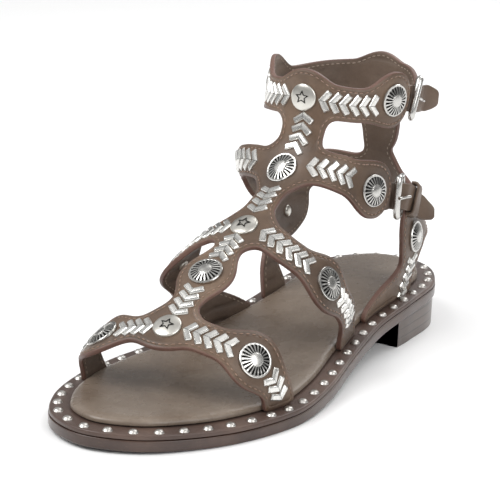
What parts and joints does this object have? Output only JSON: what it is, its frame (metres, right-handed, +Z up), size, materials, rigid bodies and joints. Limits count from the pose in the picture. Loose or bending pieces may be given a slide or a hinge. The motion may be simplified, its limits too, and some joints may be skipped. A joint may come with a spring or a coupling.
{
  "type": "flat sandal",
  "caption": "Flat leather sandal with wide scalloped straps tied by a spine, round metal ornaments, two ankle buckles and a studded sole rim",
  "frame": {"origin": "centre of the bounding box, on the ground the sole stands on", "axes": "+Y from the toe to the heel, +X to the outer side of this left shoe, +Z up"},
  "size_m": [0.0983, 0.25, 0.131],
  "materials": {
    "strap_leather": "semi-matt waxed leather, burnished at the edges",
    "rim_leather": "dark smooth leather, slightly polished",
    "sole_edge": "dark painted sole edge, semi-matt",
    "insole_leather": "smooth taupe lining leather, slightly glossy",
    "aged_silver": "cast metal with an aged silver finish, polished high spots"
  },
  "bodies": {
    "root": {"buckle_frame_collar": "aged_silver", "buckle_frame_lower": "aged_silver", "buckle_prong_collar": "aged_silver", "buckle_prong_lower": "aged_silver", "buckle_strap_collar": "strap_leather", "buckle_strap_lower": "strap_leather", "heel": "sole_edge", "insole": "insole_leather", "keeper_lower": "strap_leather", "midsole": "rim_leather", "outsole": "sole_edge", "rosette_collar_inner": "aged_silver", "rosette_collar_outer": "aged_silver", "rosette_front": "aged_silver", "rosette_heel_inner": "aged_silver", "rosette_heel_outer": "aged_silver", "rosette_instep_inner": "aged_silver", "rosette_instep_outer": "aged_silver", "rosette_lower_inner": "aged_silver", "rosette_lower_outer": "aged_silver", "rosette_spine": "aged_silver", "rosette_toe_inner": "aged_silver", "rosette_toe_outer": "aged_silver", "star_collar": "aged_silver", "star_instep": "aged_silver", "star_toe": "aged_silver", "upper": "strap_leather"}
  },
  "joints": []
}
